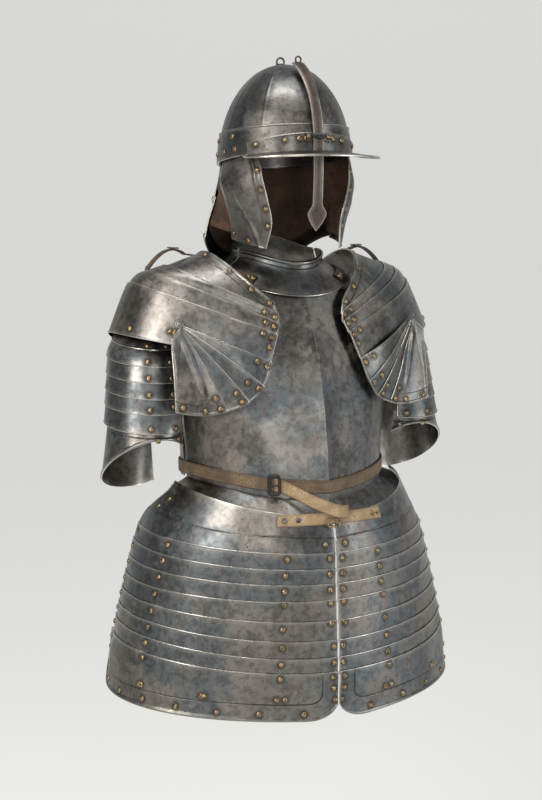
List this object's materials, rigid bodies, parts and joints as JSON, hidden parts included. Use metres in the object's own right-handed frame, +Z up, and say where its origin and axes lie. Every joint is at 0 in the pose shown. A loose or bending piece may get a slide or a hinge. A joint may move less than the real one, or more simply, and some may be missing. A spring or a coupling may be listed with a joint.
{
  "type": "half armour",
  "caption": "Half armour of aged steel plates: a pot helmet with cheek pieces and face bar, collar, breast and back, shoulder and upper-arm plates, and long tassets.",
  "frame": {"origin": "between the wearer's shoulders at the base of the neck, where the armour hangs on the wearer", "axes": "+Z up, the wearer faces -Y, and the wearer's left is +X"},
  "size_m": [0.5972, 0.3306, 1.0113],
  "materials": {
    "aged_steel": "aged, with brown patina, pits and bright worn edges",
    "dark_steel": "dark, nearly black",
    "brown_leather": "old, worn and cracked",
    "tan_leather": "worn, pale",
    "rivet_brass": "dull, darkened round its foot"
  },
  "bodies": {
    "armour": {"arm_cuff_left": "aged_steel", "arm_cuff_right": "aged_steel", "arm_lames_left": "aged_steel", "arm_lames_right": "aged_steel", "backplate": "aged_steel", "belt_buckle": "dark_steel", "breastplate": "aged_steel", "brow_band": "aged_steel", "cheek_left": "aged_steel", "cheek_right": "aged_steel", "fan_end_plate_left": "aged_steel", "fan_end_plate_right": "aged_steel", "fan_lame_1_left": "aged_steel", "fan_lame_1_right": "aged_steel", "fan_lame_2_left": "aged_steel", "fan_lame_2_right": "aged_steel", "fan_lame_3_left": "aged_steel", "fan_lame_3_right": "aged_steel", "gorget_back": "aged_steel", "gorget_front": "aged_steel", "helmet_peak": "aged_steel", "helmet_skull": "aged_steel", "nasal_bracket": "aged_steel", "neck_lame_1": "dark_steel", "neck_lame_2": "dark_steel", "neck_leather": "brown_leather", "pauldron_lame_2_left": "aged_steel", "pauldron_lame_2_right": "aged_steel", "pauldron_lame_3_left": "aged_steel", "pauldron_lame_3_right": "aged_steel", "pauldron_main_left": "aged_steel", "pauldron_main_right": "aged_steel", "pauldron_neck_plate_left": "aged_steel", "pauldron_neck_plate_right": "aged_steel", "pauldron_strap_left": "brown_leather", "pauldron_strap_right": "brown_leather", "shoulder_strap_left": "brown_leather", "shoulder_strap_right": "brown_leather", "tasset_bottom_left": "aged_steel", "tasset_bottom_right": "aged_steel", "tasset_lame_1_left": "aged_steel", "tasset_lame_1_right": "aged_steel", "tasset_lame_2_left": "aged_steel", "tasset_lame_2_right": "aged_steel", "tasset_lame_3_left": "aged_steel", "tasset_lame_3_right": "aged_steel", "tasset_lame_4_left": "aged_steel", "tasset_lame_4_right": "aged_steel", "tasset_lame_5_left": "aged_steel", "tasset_lame_5_right": "aged_steel", "tasset_lame_6_left": "aged_steel", "tasset_lame_6_right": "aged_steel", "tasset_lame_7_left": "aged_steel", "tasset_lame_7_right": "aged_steel", "tasset_strap": "tan_leather", "tasset_top_left": "aged_steel", "tasset_top_right": "aged_steel", "waist_belt": "brown_leather"},
    "nasal": {"nasal_bar": "aged_steel"},
    "screw": {"wing_screw": "dark_steel"}
  },
  "joints": [
    {"name": "nasal_slide", "type": "slide", "parent": "armour", "child": "nasal", "axis": [0, 0, 1], "range_m": [0, 0.04]},
    {"name": "wing_screw_turn", "type": "hinge", "parent": "armour", "child": "screw", "pos_m": [0, -0.1339, 0.179], "axis": [0, -1, 0], "range_deg": [0, 180]}
  ]
}
